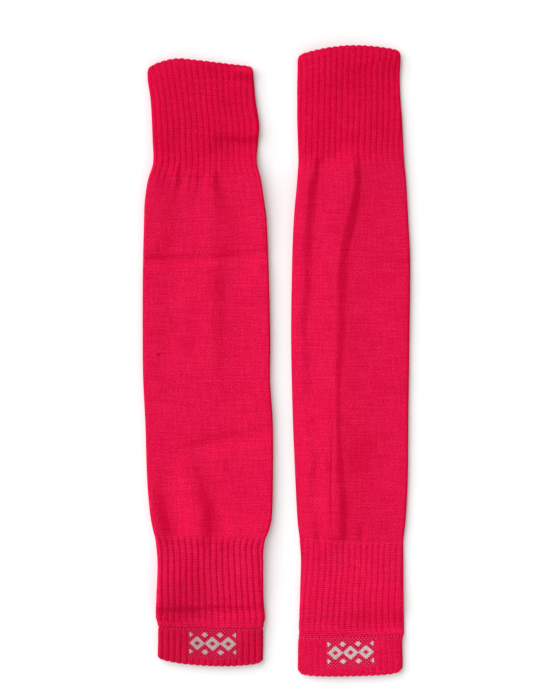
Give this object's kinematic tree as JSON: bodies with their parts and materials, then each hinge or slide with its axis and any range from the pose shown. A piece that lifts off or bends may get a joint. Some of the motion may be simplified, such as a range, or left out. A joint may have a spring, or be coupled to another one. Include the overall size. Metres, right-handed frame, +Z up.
{
  "type": "pair of leg warmers",
  "caption": "Knitted leg warmers laid flat side by side: ribbed cuffs, plain legs and ribbed hem bands, open at both ends.",
  "frame": {"origin": "centre of the pair's footprint, on the surface that it lies on", "axes": "+Z up from the surface, +Y along the leg warmers towards their top cuffs, +X from the left one to the right one"},
  "size_m": [0.1868, 0.442, 0.0067],
  "materials": {
    "rib_knit": "crimson pink rib knit, matt with a faint fuzz",
    "plain_knit": "crimson pink plain knit, matt with a faint fuzz",
    "band_knit": "crimson pink rib and patterned knit with pale grey figures, matt"
  },
  "bodies": {
    "root": {"left_top_cuff": "rib_knit", "left_leg": "plain_knit", "left_ankle_cuff": "rib_knit", "left_hem_band": "band_knit", "right_top_cuff": "rib_knit", "right_leg": "plain_knit", "right_ankle_cuff": "rib_knit", "right_hem_band": "band_knit"}
  },
  "joints": []
}
